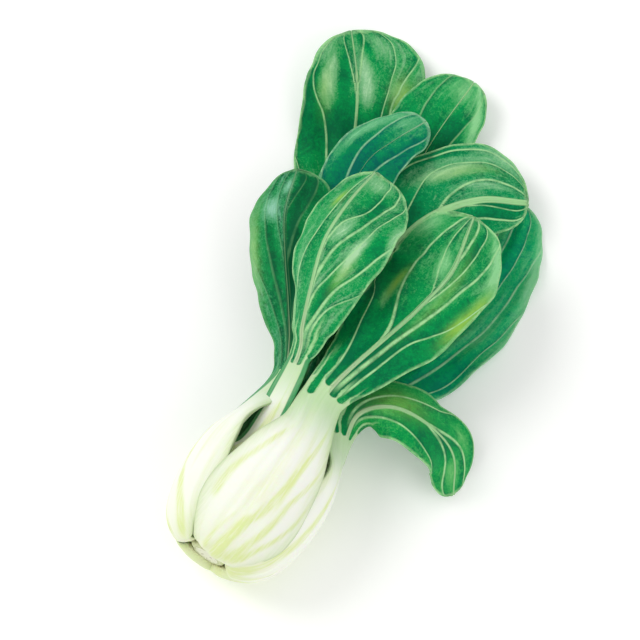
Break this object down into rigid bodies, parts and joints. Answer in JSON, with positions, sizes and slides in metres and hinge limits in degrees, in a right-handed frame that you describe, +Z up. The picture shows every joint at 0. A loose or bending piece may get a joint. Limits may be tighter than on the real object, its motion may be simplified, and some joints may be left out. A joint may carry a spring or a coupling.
{
  "type": "bok choy head",
  "caption": "Bok choy head lying on its side: thick white leaf stalks round a trimmed stem base, spreading into broad waved green leaves.",
  "frame": {"origin": "on the surface, in the middle of the flat spot on which the bulb rests", "axes": "+Y along the head from the butt to the leaf tips, +Z up, +X to the right"},
  "size_m": [0.1752, 0.2746, 0.0754],
  "materials": {
    "stem_base": "matte, corky cut end",
    "leaf_stalk": "smooth, waxy, slightly translucent white",
    "leaf_blade": "satin, waxy, pale veins",
    "leaf_blade_dark": "satin, waxy, pale veins",
    "leaf_blade_bluish": "satin, waxy, bluish bloom, pale veins"
  },
  "bodies": {
    "root": {"stem_base": "stem_base", "leaf_1_stalk": "leaf_stalk", "leaf_1_blade": "leaf_blade", "leaf_2_stalk": "leaf_stalk", "leaf_2_blade": "leaf_blade", "leaf_3_stalk": "leaf_stalk", "leaf_3_blade": "leaf_blade_dark", "leaf_4_stalk": "leaf_stalk", "leaf_4_blade": "leaf_blade", "leaf_5_stalk": "leaf_stalk", "leaf_5_blade": "leaf_blade_bluish", "leaf_6_stalk": "leaf_stalk", "leaf_6_blade": "leaf_blade", "leaf_7_stalk": "leaf_stalk", "leaf_7_blade": "leaf_blade_bluish", "leaf_8_stalk": "leaf_stalk", "leaf_8_blade": "leaf_blade", "leaf_9_stalk": "leaf_stalk", "leaf_9_blade": "leaf_blade", "leaf_10_stalk": "leaf_stalk", "leaf_10_blade": "leaf_blade"}
  },
  "joints": []
}
